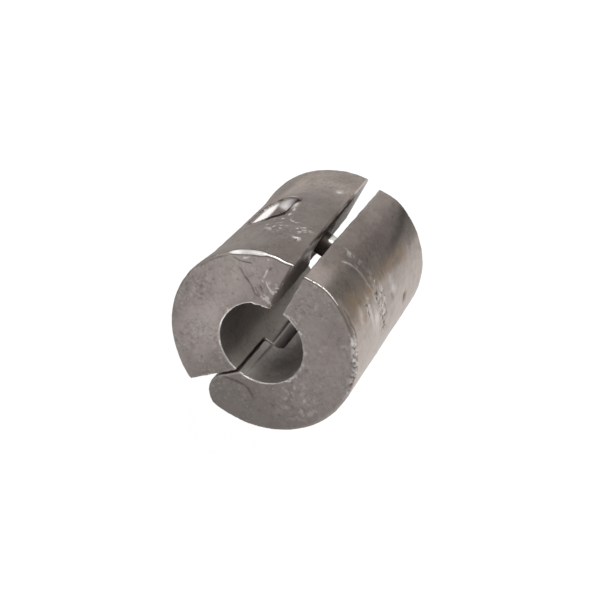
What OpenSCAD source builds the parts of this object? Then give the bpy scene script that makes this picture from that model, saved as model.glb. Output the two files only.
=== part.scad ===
// Hinged lead weight that closes round the ring of a keepnet.
// Millimetres. The bore runs along Y with the front end at -Y, the slot opens upwards
// and the origin is the middle of the bore.

/* [Body] */
// Outside diameter of the closed weight
outer_d = 36; // [33:0.5:44]
// Length of the weight along its bore
length = 41; // [34:0.5:60]
// Diameter of the bore that goes round the ring
bore_d = 16; // [12:0.5:18]
// Chamfer on the outer rim of both ends
rim_chamfer = 0.25; // [0.1:0.05:1.5]

/* [Slot] */
// Distance of the right jaw's cut face from the bore axis
slot_x = 0.7; // [-0.5:0.1:1.5]
// Width of the slot at the front end
slot_front_w = 2.4; // [1.5:0.1:3.5]
// Width of the slot at the back end
slot_back_w = 2.8; // [1.5:0.1:4]
// Turn of the slot and the peg round the bore, in degrees to the left of straight up
slot_turn = 3.5; // [0:0.5:6]

/* [Hinge] */
// Sideways place of the hinge pin, from the bore axis
hinge_x = 0.5; // [-1:0.1:2]
// Diameter of the hinge knuckles
knuckle_d = 8.6; // [7:0.1:9.5]
// How much of a knuckle's round the outside of the weight takes off
knuckle_crop = 0.15; // [0.1:0.05:0.5]
// Length of the left jaw's middle knuckle
mid_knuckle_l = 15.6; // [10:0.2:20]
// Gap at each end of the middle knuckle
knuckle_gap = 0.4; // [0.3:0.1:1]
// Lean of the slit's flat faces, in degrees from upright
slit_lean = 37; // [25:1:42]
// Gap between a knuckle and the flat that faces it
slit_gap = 0.3; // [0.2:0.05:0.6]
// How far the face above a knuckle is set back from the knuckle's round
slit_relief = 0.1; // [0.05:0.05:0.3]
// Width of the throat that the right jaw leaves beside the middle knuckle, at the bore
throat_w = 2.1; // [1:0.1:3]
// Corner radius of the throat
throat_round = 1; // [0.5:0.1:1.5]
// Diameter of the hinge pin
pin_d = 3; // [2:0.1:4]
// Radial running clearance of the pin in the middle knuckle
pin_clear = 0.05; // [0.02:0.01:0.1]
// Lead left in front of the pin's blind end
pin_cover = 3; // [2:0.5:5]
// How far the pin's back end lies below the back face
pin_sink = 0.5; // [0.2:0.1:2]

/* [Peg] */
// Diameter of the locating peg
peg_d = 4.6; // [3.5:0.1:5]
// Place of the peg along the weight, from the middle towards the back
peg_y = 0.6; // [-3:0.1:3]
// Depth of the peg's seat in the right jaw
peg_seat = 8; // [5:0.5:9]
// Length of the peg beyond the right jaw's cut face
peg_reach = 5.6; // [4.5:0.1:5.8]
// Chamfer on the peg's tip
peg_tip = 0.8; // [0.4:0.1:1.2]
// Play above and below the peg in the left jaw's hole
peg_play = 0.9; // [0.5:0.05:1.1]
// Length of the left jaw's peg hole along the weight
peg_hole_l = 11.2; // [8:0.2:14]
// Lead left between the peg hole and the top of the bore
peg_floor = 0.5; // [0.4:0.1:1.5]

/* [Hidden] */
$fn = 96;

outer_r = outer_d / 2;
bore_r = bore_d / 2;
knuckle_r = knuckle_d / 2;
pin_r = pin_d / 2;
peg_r = peg_d / 2;

// The hinge axis lies so that the knuckles all but reach the outside
hinge_reach = outer_r - knuckle_r + knuckle_crop;
hinge_z = -sqrt(hinge_reach * hinge_reach - hinge_x * hinge_x);
hinge = [hinge_x, hinge_z];
end_knuckle_l = (length - mid_knuckle_l) / 2 - knuckle_gap;

// The peg hole is a slot with round ends, just above the bore
peg_hole_h = peg_d + 2 * peg_play;
peg_z = bore_r + peg_floor + peg_hole_h / 2;
peg_hole_half = (peg_hole_l - peg_hole_h) / 2;

pin_l = length - pin_cover - pin_sink;
pin_mid_y = (pin_cover - pin_sink) / 2;

lead = [0.50, 0.48, 0.46];
lead_dark = [0.45, 0.43, 0.42];
steel = [0.66, 0.66, 0.65];

// Left wall of the slot at a place along the weight: the slot widens towards the back
function slot_left(y) =
    slot_x - slot_front_w - (slot_back_w - slot_front_w) * (y / length + 0.5);

// A point of the X-Z plane turned round the bore axis with the slot
function turned(p) = [
    p.x * cos(slot_turn) - p.y * sin(slot_turn),
    p.x * sin(slot_turn) + p.y * cos(slot_turn)
];

// Unit vectors of the slit's flat on one side, -1 left or 1 right: out of the hinge, and up
function flat_out(side) = [side * cos(slit_lean), sin(slit_lean)];
function flat_up(side) = [-side * sin(slit_lean), cos(slit_lean)];

// Point of a line nearest to the bore axis
function foot(point, along) = point - (point * along) * along;

// Where a jaw's flat touches the clearance round the hinge, and where a knuckle's own face starts
function flat_touch(side) = hinge + (knuckle_r + slit_gap) * flat_out(side);
function face_touch(side) = hinge + (knuckle_r - slit_relief) * flat_out(side);

// Where the middle knuckle's right face meets the bore
mid_foot = foot(face_touch(1), flat_up(1));
mid_edge = mid_foot - sqrt(bore_r * bore_r - mid_foot * mid_foot) * flat_up(1);

// The throat's side wall, from the bore down to the right jaw's flat
throat_x = mid_edge.x + throat_w;
throat_z = flat_touch(1).y + (throat_x - flat_touch(1).x) / flat_up(1).x * flat_up(1).y;
throat_half = mid_knuckle_l / 2 + knuckle_gap;

// Extrude an X-Z outline along the weight
module along(l) {
    rotate([90, 0, 0])
        linear_extrude(l, center = true)
            children();
}

// A round bar along the weight
module bar(l, r) {
    rotate([90, 0, 0])
        cylinder(h = l, r = r, center = true);
}

// The side of the weight that a jaw has where the other jaw's knuckle is: cut by a flat
module flat_side(side) {
    up = flat_up(side);
    touch = flat_touch(side);
    polygon([
        turned([slot_x, outer_d]),
        turned([slot_x, 0]),
        foot(touch, up),
        touch - outer_d * up,
        [side * outer_d, -outer_d],
        [side * outer_d, outer_d]
    ]);
}

// The side of the weight that a jaw has at its own knuckle
module knuckle_side(side) {
    touch = face_touch(-side);
    polygon([
        turned([slot_x, outer_d]),
        turned([slot_x, 0]),
        foot(touch, flat_up(-side)),
        touch,
        hinge,
        2 * hinge,
        [side * outer_d, -outer_d],
        [side * outer_d, outer_d]
    ]);
    translate(hinge)
        circle(r = knuckle_r);
}

// The whole round blank with its chamfered rims and its bore
module blank() {
    rotate([90, 0, 0])
        rotate_extrude()
            polygon([
                [bore_r, -length / 2],
                [outer_r - rim_chamfer, -length / 2],
                [outer_r, rim_chamfer - length / 2],
                [outer_r, length / 2 - rim_chamfer],
                [outer_r - rim_chamfer, length / 2],
                [bore_r, length / 2]
            ]);
}

// Turn what is made for an upright slot round the bore
module turn() {
    rotate([0, -slot_turn, 0])
        children();
}

// The slot between the jaws, seen from above
module slot_space() {
    turn()
        linear_extrude(outer_d)
            polygon([
                [slot_left(-length), -length],
                [outer_r, -length],
                [outer_r, length],
                [slot_left(length), length]
            ]);
}

// The left jaw's hole round the peg
module peg_hole() {
    turn()
        translate([slot_x, peg_y, peg_z]) {
            for (y = [-peg_hole_half, peg_hole_half])
                translate([0, y, 0])
                    rotate([0, -90, 0])
                        cylinder(h = outer_d, d = peg_hole_h);
            translate([-outer_d, -peg_hole_half, -peg_hole_h / 2])
                cube([outer_d, 2 * peg_hole_half, peg_hole_h]);
        }
}

// The throat beside the middle knuckle, open to the whole bore, with its two far corners rounded
module throat_space() {
    far = throat_half - throat_round;
    translate([-bore_r, -throat_half, throat_z])
        cube([bore_r + throat_x - throat_round, 2 * throat_half, -throat_z]);
    translate([-bore_r, -far, throat_z])
        cube([bore_r + throat_x, 2 * far, -throat_z]);
    for (y = [-far, far])
        translate([throat_x - throat_round, y, throat_z])
            cylinder(h = -throat_z, r = throat_round);
}

// The left jaw, with the middle knuckle
module left_jaw() {
    color(lead)
        difference() {
            intersection() {
                blank();
                union() {
                    along(length) flat_side(-1);
                    along(mid_knuckle_l) knuckle_side(-1);
                }
            }
            slot_space();
            peg_hole();
            translate([hinge_x, 0, hinge_z])
                bar(length, pin_r + pin_clear);
        }
}

// The right jaw, with the front and back knuckles
module right_jaw() {
    color(lead_dark)
        difference() {
            intersection() {
                blank();
                union() {
                    along(length) flat_side(1);
                    for (end = [-1, 1])
                        translate([0, end * (length - end_knuckle_l) / 2, 0])
                            along(end_knuckle_l) knuckle_side(1);
                }
            }
            translate([hinge_x, pin_cover, hinge_z])
                bar(length, pin_r);
            throat_space();
            turn()
                translate([slot_x, peg_y, peg_z])
                    rotate([0, 90, 0])
                        cylinder(h = 2 * peg_seat, r = peg_r, center = true);
        }
}

// The hinge pin, driven in from the back end
module hinge_pin() {
    color(steel)
        translate([hinge_x, pin_mid_y, hinge_z])
            bar(pin_l, pin_r);
}

// The peg that holds the closed jaws in line, pressed into the right jaw
module locating_peg() {
    color(steel)
        turn()
            translate([slot_x + peg_seat, peg_y, peg_z])
                rotate([0, -90, 0])
                    rotate_extrude()
                        polygon([
                            [0, 0],
                            [peg_r, 0],
                            [peg_r, peg_seat + peg_reach - peg_tip],
                            [peg_r - peg_tip, peg_seat + peg_reach],
                            [0, peg_seat + peg_reach]
                        ]);
}

left_jaw();
right_jaw();
hinge_pin();
locating_peg();
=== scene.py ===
"""Look of the hinged lead keepnet weight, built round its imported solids."""

import math

import bmesh
import bpy
import numpy as np
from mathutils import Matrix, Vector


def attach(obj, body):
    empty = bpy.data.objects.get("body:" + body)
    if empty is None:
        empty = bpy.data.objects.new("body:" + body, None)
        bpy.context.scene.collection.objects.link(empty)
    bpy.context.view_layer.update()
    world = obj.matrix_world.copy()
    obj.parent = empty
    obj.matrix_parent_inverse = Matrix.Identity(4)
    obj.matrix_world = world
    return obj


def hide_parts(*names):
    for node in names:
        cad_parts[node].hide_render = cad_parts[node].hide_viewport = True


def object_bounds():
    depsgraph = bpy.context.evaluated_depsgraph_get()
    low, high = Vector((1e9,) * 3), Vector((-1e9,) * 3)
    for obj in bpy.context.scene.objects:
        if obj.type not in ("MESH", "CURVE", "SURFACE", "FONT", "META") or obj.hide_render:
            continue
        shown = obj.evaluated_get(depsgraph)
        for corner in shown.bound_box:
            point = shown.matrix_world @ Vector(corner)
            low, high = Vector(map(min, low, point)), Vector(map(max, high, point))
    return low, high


MM = 0.001
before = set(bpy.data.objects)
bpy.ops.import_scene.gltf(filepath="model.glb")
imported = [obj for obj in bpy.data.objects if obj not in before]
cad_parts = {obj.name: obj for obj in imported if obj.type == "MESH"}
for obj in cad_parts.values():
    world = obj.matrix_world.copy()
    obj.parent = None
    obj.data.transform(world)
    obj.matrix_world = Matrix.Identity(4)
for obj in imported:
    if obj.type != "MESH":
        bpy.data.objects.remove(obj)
cad_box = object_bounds()

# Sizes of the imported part, in mm
OUTER_R = 18.0
BORE_R = 8.0
HALF_L = 20.5
SLOT_TURN = math.radians(3.5)
SLOT_COS = math.cos(SLOT_TURN)
SLOT_SIN = math.sin(SLOT_TURN)
SLOT_X = 0.7
SLOT_FRONT_W = 2.4
SLOT_BACK_W = 2.8
HINGE_X = 0.5
HINGE_Z = -13.841
PIN_R = 1.5
PIN_FRONT = -17.5
PIN_BACK = 20.0
PEG_R = 2.3
PEG_Y = 0.6
PEG_Z = 11.7
PEG_TIP = -4.9
PEG_SEAT = 8.7
HOLE_HALF_H = 3.2
HOLE_HALF_L = 5.6

# Directions across the slot and up it
SLOT_ACROSS = np.array([SLOT_COS, 0, SLOT_SIN])
SLOT_UP = np.array([-SLOT_SIN, 0, SLOT_COS])

# Working sizes of the cast surfaces, in mm
VOXEL = 0.27
WELD = 0.001
SNAP = 0.2
SIDE_INSET = 0.05
END_INSET = 0.1

# Rounds and shares of smoothing: of the grid's steps, and to find what sticks out by some mm
GRID_SMOOTHING = (2, 0.45)
EDGE_SMOOTHING = (6, 0.6)
EDGE_LEAST = 0.03
EDGE_SPAN = 0.1

NOISE_TABLE = 4096
NOISE_PRIMES = (73856093, 19349663, 83492791)

# How much of a line's end shows, and the part of its length that thins out
LINE_END_SHARE = 0.25
LINE_ENDS = 0.12

# Looks that are built up mark by mark
# Of these, the bare-metal look also holds painted light and highlights, the dirt look also holds painted
# shade and shadow, and the matte look is only for painted lit patches
TRACED_LOOKS = ("wear", "grime_and_painted_shade", "stain", "chalk", "scuff", "mottle", "pale")

# How far below each face its skin reaches: none there, and all of it
OUTER_SKIN = (0.8, 0.4)
END_SKIN = (0.3, 0.12)
BORE_SKIN = (0.5, 0.2)
WALL_SKIN = (0.6, 0.3)
WALL_FOOT = (6.5, 7.5)
HINGE_ZONE = (5.6, 4.8)

# Noise on the castings: height in mm or strength, size of its bumps in mm, seed, and octaves if several
WAVES = (0.06, 7, 11, 3)
GRAIN = (0.04, 1.5, 21, 2)
TEETH = (0.32, 0.46, 41)
EDGE_BUMPS = (0.08, 1.1, 51)
BORE_BUMPS = (0.12, 0.8, 53)
WOBBLE_U = (0.22, 1.1, 55)
WOBBLE_V = (0.22, 1.1, 57)
RAGGED_MOUTH = (0.12, 0.8, 65)
RAGGED_WALL_SHADE = (0.5, 1.3, 79)
STREAKS = (1, 1.6, 83, 3)
BORE_LIGHT_NOISE = (0.08, 4, 87, 2)
CRINKLES = (0.06, 1, 91, 2)
SCUFFS = (0.05, 0.7, 95, 2)
BURR_BUMPS = (0.4, 0.7, 97)
WRINKLES = (0.07, 0.9, 99, 2)
TOOTH_LIFT = 0.01

# Patches that noise leaves: middle share, and the noise
LIP_PATCHES = (1.05, 0.4, 1.2, 31)
GAPS = (0.55, 1.1, 0.9, 61)
EDGE_PATCHES = (0.5, 1, 1.7, 73)
BURR_PATCHES = (0.55, 0.9, 0.9, 75)
HATCHING = (0.6, 0.7, 0.7, 81)

# What changes round the bore or along it: angle in degrees or Y in mm, and size in mm or share
RIM_ROUND = ([0, 60, 90, 97, 113, 119, 132, 139, 160, 180, 225, 250, 262, 300, 360],
             [0.3, 0.25, 0.22, 0.22, 0.24, 0.6, 0.65, 0.3, 0.9, 1.1, 1, 0.5, 0.4, 0.5, 0.3])
BACK_ROUND = ([0, 120, 240, 360], [0.5, 0.4, 0.7, 0.5])
CRUMBLE = ([2, 12, 18, 44, 50], [0, 0.6, 1, 1, 0])

# Sinking of the right jaw's slot edge, by the angle and along Y
SAG_RIGHT = (74, 95)
SAG_ALONG = ([-20.5, -17, -10, 20.5], [1, 0.85, 0.65, 0.7])
SAG_REACH = 3.0

# Sinking of the left jaw's front corner, and its tip hung into the bore
SAG_LEFT_H = 0.27
SAG_LEFT_ANGLE = 104.6
SAG_LEFT_W = 4.5
TIP = ([104, 108, 113, 119, 125, 131], [0.3, 0.42, 0.42, 0.35, 0.2, 0])
TIP_REACH = 2.5
TIP_Y = (3.5 - HALF_L, 0.5 - HALF_L)

# How much flatter than a true round the left jaw's side is
FLAT_SIDE = (126, 148, 190, 215)
FLAT_ALONG = ([-20.5, -19, -17, -15, -12, 6, 12, 16, 19], [0, 0.02, 0.14, 0.34, 0.48, 0.55, 0.5, 0.3, 0])

# Where the front end's faces are finest: angles on each jaw, and widths from the end and the rim
FINE_LEFT = (92, 150)
FINE_RIGHT = (0, 92)
FINE_DEPTH = 0.9
FINE_RIM = 1.2
NICKED = (-13.5, -4)

# Share of bright metal on the outer rim's lip and its width, by the angle; the bright metal partly stands in
# for a highlight
LIP = ([60, 66, 68, 116, 119, 130, 133, 137, 139], [0, 0.05, 1, 1, 0.7, 0.7, 1, 1, 0])
LIP_SIZE = ([66, 80, 88, 97, 115, 119, 132, 136, 139], [0.21, 0.26, 0.23, 0.27, 0.28, 0.6, 0.6, 0.45, 0.2])

# Share of bright metal along the bore's rim, which partly stands in for a highlight
BORE_BRIGHT = ([0, 50, 60, 70, 95, 130, 200, 230, 262, 275, 300, 315, 335, 360],
               [0.1, 0.15, 0.6, 0.7, 0.9, 0.8, 0.85, 0.5, 0.6, 1, 0.9, 0.5, 0.2, 0.1])

# Scuffing of the front face beside the bore, and how far it reaches on each side
SCUFFED = ([0, 50, 60, 72, 95, 180, 230, 290, 303, 325, 345, 360],
           [0.25, 0.35, 1, 0.5, 0.35, 0.3, 0.15, 0.2, 1, 1, 0.4, 0.25])
SCUFF_LEFT = (2.2, 0.6)
SCUFF_RIGHT = (1, 0.3)

# Patches of the front face: middle, and where they end and are full
CRINKLED = ((-3.6, 9.6), 3.2, 1.6)
WRINKLED = ((12, -5), 6, 2)

# Widths of the marks along the rims: none there, and all of them
TEETH_RIM = (1, 0.4)
CRUMBLED_RIM = (1.4, 0.6)
BARE_RIM = (0.7, 0.4)
BARE_ANGLES = (42, 47, 65.5, 67.5)
BORE_RIM = (0.4, 0.12)
ROUNDED_RIM = (0.12, -0.1)

# Lines on the front face, as X and Z in mm, with half width and depth or height
FACE_GROOVES = [
    ([(-10.9, 10.7), (-9.8, 10.2), (-8.8, 9.7), (-8, 9.4), (-6.9, 8.8), (-5.7, 8), (-4.7, 8.2)],
     0.15, 0.16),
    ([(-6.4, 9.1), (-5.5, 8.5), (-4.6, 8.4)], 0.12, 0.1),
    ([(-6, 10.2), (-5, 9.5), (-4.5, 9.4)], 0.14, 0.14),
    ([(-12.5, 11.7), (-11, 11.8), (-10, 12.2), (-9, 13)], 0.15, 0.13),
    ([(-9.7, 14.2), (-8.4, 14.9)], 0.16, 0.1),
    ([(-5.8, 14.5), (-5.9, 13.7)], 0.2, 0.12),
    ([(-13.2, 11.4), (-14.5, 9.7), (-15.6, 7.8), (-16.7, 5.2)], 0.16, 0.08),
    ([(-2.5, -11.1), (-1.2, -10.9), (0.1, -10.4), (1.4, -9.9), (2.8, -10.1), (4, -10.7), (4.9, -11.4)],
     0.2, 0.24),
]
FACE_RIDGES = [
    ([(-6.1, 13.8), (-6, 12.9), (-5.9, 11.9)], 0.15, 0.12),
    ([(-5.3, 11.7), (-4.6, 10.9), (-3.9, 10.6), (-3, 10.6)], 0.12, 0.12),
    ([(-6, 11.4), (-5.6, 11.1)], 0.12, 0.1),
    ([(-3.3, 11.5), (-2.7, 12)], 0.11, 0.08),
    ([(-10.7, 12.7), (-10, 13.7)], 0.14, 0.1),
    ([(-7.1, 15.6), (-6.8, 15.5)], 0.15, 0.08),
    ([(-4.6, 8.4), (-4.5, 8.6)], 0.14, 0.08),
    ([(-4.2, 9.2), (-4.1, 9.1)], 0.13, 0.08),
]

# Pits of the front face, with their size, and one depth for all
FACE_PITS = [
    ((-14.2, 2.5), 0.4), ((-13, 2.3), 0.3), ((-13.2, 0.3), 0.35), ((-14.6, 6.7), 0.3), ((-10.7, 5.9), 0.3),
    ((-9, 5.2), 0.25), ((-12.9, -7.2), 0.35), ((-4.9, -8.9), 0.25), ((-7.6, -10.6), 0.3),
    ((-12, -8.2), 0.3), ((-14.8, 3.6), 0.3), ((-13.7, 1.2), 0.3), ((-9.6, 8.4), 0.25),
    ((13.2, -3.4), 0.25), ((9.4, 1.2), 0.3), ((8.2, -9.8), 0.3), ((10.1, -10.6), 0.25), ((6.6, -12.4), 0.3),
]
PIT_DEPTH = 0.14

# Speckled patches of the front face, with their size and strength
FACE_SPECKS = [
    ((-14.5, 3), 2.2, 0.14), ((-11.5, -8.7), 2, 0.1), ((11.5, -5.5), 4, 0.24),
    ((15, -5.5), 1.8, 0.14), ((11.3, 9.5), 2.4, 0.16), ((9.8, 6), 1.6, 0.14), ((-3.4, 9), 1.5, 0.3),
]

# Lines and spots on the outside, as the angle in degrees and Y in mm
SIDE_RIDGES = [
    ([(80, -10.3), (75.9, -9.3), (70.8, -8.6), (65.5, -8.2), (60.9, -8.3), (55.5, -7.7)], 0.17, 0.14),
    ([(111.5, -8.2), (108.8, -7.4)], 0.17, 0.22),
    ([(109.6, -8.9), (107.4, -8.3)], 0.17, 0.22),
    ([(110.8, -9.8), (109, -9.4)], 0.17, 0.2),
    ([(109.8, -12.3), (107.9, -11.8)], 0.17, 0.2),
    ([(119.5, -6.3), (117.8, -6)], 0.15, 0.18),
    ([(132.5, -8.7), (130.8, -8.4)], 0.14, 0.12),
    ([(126.4, -9.6), (125.2, -9)], 0.14, 0.12),
    ([(121.4, -10.2), (120.4, -9.8)], 0.14, 0.12),
    ([(123.4, -2), (123.9, -0.8)], 0.2, 0.2),
    ([(125.6, -0.9), (125.8, 0.6), (126.2, 2.2)], 0.4, 0.2),
    ([(124, -4), (123.4, -3.2)], 0.18, 0.15),
    ([(126.2, -5.8), (124.8, -5.4)], 0.16, 0.12),
    ([(113.2, -8.9), (112.2, -8.4)], 0.15, 0.16),
    ([(107.8, -9.2), (106.6, -8.8)], 0.15, 0.16),
]
SIDE_GROOVES = [
    ([(50, -4.4), (45, -4.6), (41.5, -5.7), (35.5, -5.7), (31, -5.3), (25, -4.8)], 0.3, 0.22),
    ([(44, -4.4), (38, -3.6), (33, -3.2)], 0.22, 0.14),
    ([(69, -19.8), (64, -19.5), (57.8, -19.3), (50, -19.2), (42, -19.3)], 0.4, 0.2),
]
SIDE_DENTS = [((109.2, 10.6), 0.9, 0.3), ((27, 8), 0.9, 0.3), ((40, 0.6), 0.9, 0.2)]
SIDE_SPOTS = [((109.2, 10.6), 0.6, 0.85)]
NICKS = [
    ((109.4, -8.7), 1.3, 1), ((108.8, -12), 0.8, 1), ((118.5, -6.2), 0.9, 1), ((125, -9.4), 1.6, 0.8),
    ((80, -6.5), 1, 0.6), ((72, -7), 1.3, 0.55),
]

# Streaks and mottled patches along lines of the outside, with half width and strength
BROWN_STREAKS = [
    ([(62, -18), (59, -14.5), (57, -10.5), (55.5, -7)], 2, 1),
    ([(52, -18), (50, -14), (53, -9.5)], 1.6, 0.7),
    ([(56, -8), (57, -2.5), (55.5, 4.3), (53.5, 12)], 1.5, 0.8),
]
MOTTLED = [
    ([(56, -4), (48, -4.3), (44.9, -4.5), (41.5, -5.6), (35.5, -5.6), (31, -5.3), (25, -4.8)], 1.3, 1),
    ([(57, -10.2), (51, -11.8), (44, -12.3)], 0.9, 1),
    ([(62, -5.2), (57, -6), (48, -7), (42, -7.6)], 0.9, 1),
]
PALE_STREAKS = [
    ([(58, -2.8), (51, -4.6), (45, -5.4), (36, -6.5)], 0.7, 0.35),
    ([(55, -10.6), (47.3, -10.3), (40.3, -9.4), (33, -8.8)], 1.4, 0.7),
    ([(58, -6), (50, -7.4), (42, -8.4)], 0.8, 0.6),
    ([(57, -14), (50, -15), (44, -16)], 0.8, 0.4),
    ([(53, 0.4), (48.9, 0.9), (43.7, 1.1), (37, 1.6)], 1.4, 0.35),
]
BROWN_ENDS = 0.05
MOTTLED_ENDS = 0.2
PALE_ENDS = 0.3
STREAK_STRETCH = (4, 1.6)

# The pale right side, a painted reflection, with its edge as an angle along Y, and its pale corners by the
# slot, also painted light
PALE_EDGE = ([-20, -8, -1, 6, 16, 20], [52, 59, 56, 54, 55, 54])
PALE_RAGGED = 2.5
PALE_FADE = (3, -5)
PALE_LOW = (20, 45)
CORNER_ANGLE = (74, 82)
CORNER_Y = (-12, -17)
SLOT_SIDE_ANGLE = (70, 80)
SLOT_SIDE_Y = (4, 12)

# The dark band beside the slot, a painted dark reflection, as an angle along Y, and the painted shade round
# it
DARK_BAND = ([-8, 0, 6, 13, 19], [66, 63, 62, 64.5, 69])
BAND_WIDE = 6.5
BAND_NARROW = 4.5
BAND_Y = (-8, 14)
BAND_BESIDE = (62, 70)

# Shade of the left side, of the bore and of the front face
LEFT_SHADE_Y = (13, 3)
LEFT_SHADE_TOP = (92, 100)
LEFT_SHADE_LOW = (138, 152)
LEFT_SHADE_END = (240, 180)
BORE_SHADE = (95, 105, 234, 254)
BORE_SHADE_DEEP = (140, 170)
FACE_SHADE_RIGHT = (-12, 0)
FACE_SHADE_LOW = (2, -15)
FACE_SHADE_LEFT = (-13, -16.5)
DULL_LEFT = (-9, -15)

# Lines scored along the bore of each jaw, as the angle and Y, with half width and depth
BORE_GROOVES = {
    False: [([(-84.4, -20.4), (-83.6, -15), (-82.4, -10), (-82.2, -8.4)], 0.22, 0.05)],
    True: [([(-82.5, -7.7), (-83.2, -4), (-84.9, 0.2), (-86, 7.7)], 0.22, 0.05)],
}
BORE_GROOVE_ENDS = 0.02
# Where the right jaw's bore gets painted light, more of it deeper in
BORE_LIGHT_Y = (-15, -8)

# The throat's flank on the middle knuckle, painted as lit
FLANK_X = 1.0
FLANK_Z = (-11.7, -7.6)
FLANK_HALF_L = 8.0

# The sill that swells from the slot's left wall, up the wall and along it, and the burr at the peg's seat
SILL_UP = (12.5, 8.5)
SILL_Y = (0.2 - HALF_L, 4.0 - HALF_L, -4, -1)
SILL_H = 0.5
BURR_H = 0.4
BURR_W = 0.5

# The peg's hole: painted light on its outer rim, far end and floor, and painted shade on its lower part
HOLE_RIM = (-13.4, -13.9)
HOLE_END_X = -12.0
HOLE_END_W = 1.3
HOLE_END_UP = (9.6, 10.8)
HOLE_FLOOR_UP = (9.6, 9)
HOLE_FLOOR_X = (-9, -7)
HOLE_FLOOR_Y = (5.3, 4.7)
HOLE_LOW_X = (-13.8, -13.3, -10, -9)
HOLE_LOW_UP = (10.6, 10)

# The painted shadow line along the hole's mouth: its width and the angle where it ends, along Y, and its
# edges
MOUTH = ([-5, -3, -1, 2, 4, 6], [0.75, 0.4, 0.22, 0.22, 0.32, 0.1])
MOUTH_END = ([0, 4], [139, 129])
MOUTH_EDGE = (0.25, 0.05)
MOUTH_FADE = 2
MOUTH_INSIDE = -0.6
MOUTH_DEPTH = 1.2
MOUTH_Y = (6, 5)

# Painted shade on the slot's left wall: over its front part, and under its top edge further back; and painted
# light on the wall near the front and on its far part
FRONT_WALL_SHADE = (1.8, -1.4)
FRONT_WALL_SHADE_Y = -4
FRONT_WALL_SHADE_UP = 9.6
FRONT_WALL_SHADE_LEAN = 1.67
TOP_EDGE_SHADE = ([-14, -8, -5, -2, 12], [16.8, 16.5, 15.4, 13.4, 15.6])
TOP_EDGE_SHADE_FADE = (-0.6, 1.2)
TOP_EDGE_SHADE_Y = (-14, -12, 11, 13.5)
WALL_LIT_PATCH_Y = (-14, -11, -5, 0)
FAR_WALL_Y = (0, 4)
FAR_WALL_LIGHT_UP = (9, 12.5)
HATCH_STRETCH = (1, 0.4, 1.4)


def ease(low, high, value):
    """Runs smoothly from 0 at low to 1 at high, which may be the lower of the two."""
    t = np.clip((value - low) / (high - low), 0, 1)
    return t * t * (3 - 2 * t)


def between(value, start, full, ebb, end):
    """Rises from 0 to 1 between start and full, and falls again between ebb and end."""
    return ease(start, full, value) * ease(end, ebb, value)


def bell(distance, width):
    return np.exp(-((distance / width) ** 2))


def at_least(least, share):
    """A share from 0 to 1, raised so that it runs from least to 1."""
    return least + (1 - least) * share


def greatest(*shares):
    return np.maximum.reduce(shares)


def value_noise(points, size, seed):
    """Smooth noise from -1 to 1 with bumps about size mm across."""
    table = np.random.default_rng(seed).uniform(-1, 1, NOISE_TABLE)
    q = points / size
    cell = np.floor(q).astype(np.int64)
    t = q - cell
    t = t * t * (3 - 2 * t)
    total = np.zeros(len(points))
    for corner in np.ndindex(2, 2, 2):
        a, b, c = ((cell + corner) * NOISE_PRIMES).T
        weight = np.prod(np.where(np.array(corner) == 1, t, 1 - t), axis=1)
        total += weight * table[(a ^ b ^ c) % NOISE_TABLE]
    return total


def noise(points, height, size, seed, octaves=1):
    """Noise built up from octaves, each with bumps of half the size and height."""
    total = np.zeros(len(points))
    for k in range(octaves):
        total += value_noise(points, size / 2**k, seed + k) / 2**k
    return height * total


def patchy(points, base, *settings):
    """A share from 0 to 1 that noise changes from place to place."""
    return np.clip(base + noise(points, *settings), 0, 1)


def to_line(uv, points):
    """Distance of each uv point from a line through points, and how far along the line it is."""
    best = np.full(len(uv), np.inf)
    where = np.zeros(len(uv))
    line = np.array(points, float)
    spans = np.linalg.norm(np.diff(line, axis=0), axis=1)
    starts = np.concatenate([[0], np.cumsum(spans)])
    for a, b, span, start in zip(line[:-1], line[1:], spans, starts):
        t = np.clip((uv - a) @ (b - a) / span**2, 0, 1)
        d = np.linalg.norm(uv - a - t[:, None] * (b - a), axis=1)
        near = d < best
        best = np.where(near, d, best)
        where = np.where(near, (start + t * span) / starts[-1], where)
    return best, where


def stroke(uv, points, width, ends):
    """A line's profile from 0 to 1, width mm to each side, thinning out at its ends."""
    d, along = to_line(uv, points)
    fade = between(along, 0, ends, 1 - ends, 1)
    return bell(d, width) * at_least(LINE_END_SHARE, fade)


def smoothed(co, edges, rounds, share):
    """Points moved towards the mean of their neighbours."""
    a, b = edges.T
    n = len(co)
    count = np.bincount(edges.ravel(), minlength=n)[:, None]
    for _ in range(rounds):
        total = [np.bincount(a, co[b, k], n) + np.bincount(b, co[a, k], n) for k in range(3)]
        co = co + share * (np.stack(total, 1) / count - co)
    return co


def values_of(items, name, width, kind=np.float32):
    """A value of each of a mesh's items, as rows of numbers."""
    values = np.empty(len(items) * width, kind)
    items.foreach_get(name, values)
    return values.reshape(-1, width)


def mesh_points(mesh):
    return values_of(mesh.vertices, "co", 3).astype(float) / MM


def set_points(mesh, co):
    mesh.vertices.foreach_set("co", (co * MM).astype(np.float32).ravel())
    mesh.update()


def set_field(mesh, name, values):
    field = mesh.attributes.new(name, "FLOAT", "POINT")
    field.data.foreach_set("value", np.clip(values, 0, 1).astype(np.float32))


def new_object(name, data):
    obj = bpy.data.objects.new(name, data)
    bpy.context.scene.collection.objects.link(obj)
    return obj


def slot_frame(x, z):
    """Places across the slot and up it."""
    across = x * SLOT_COS + z * SLOT_SIN
    up = z * SLOT_COS - x * SLOT_SIN
    return across, up


def slot_wall(y, left):
    """Place of a jaw's wall of the slot, measured across the slot."""
    if not left:
        return np.full(len(y), SLOT_X)
    return SLOT_X - SLOT_FRONT_W - (SLOT_BACK_W - SLOT_FRONT_W) * (y / (2 * HALF_L) + 0.5)


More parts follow.
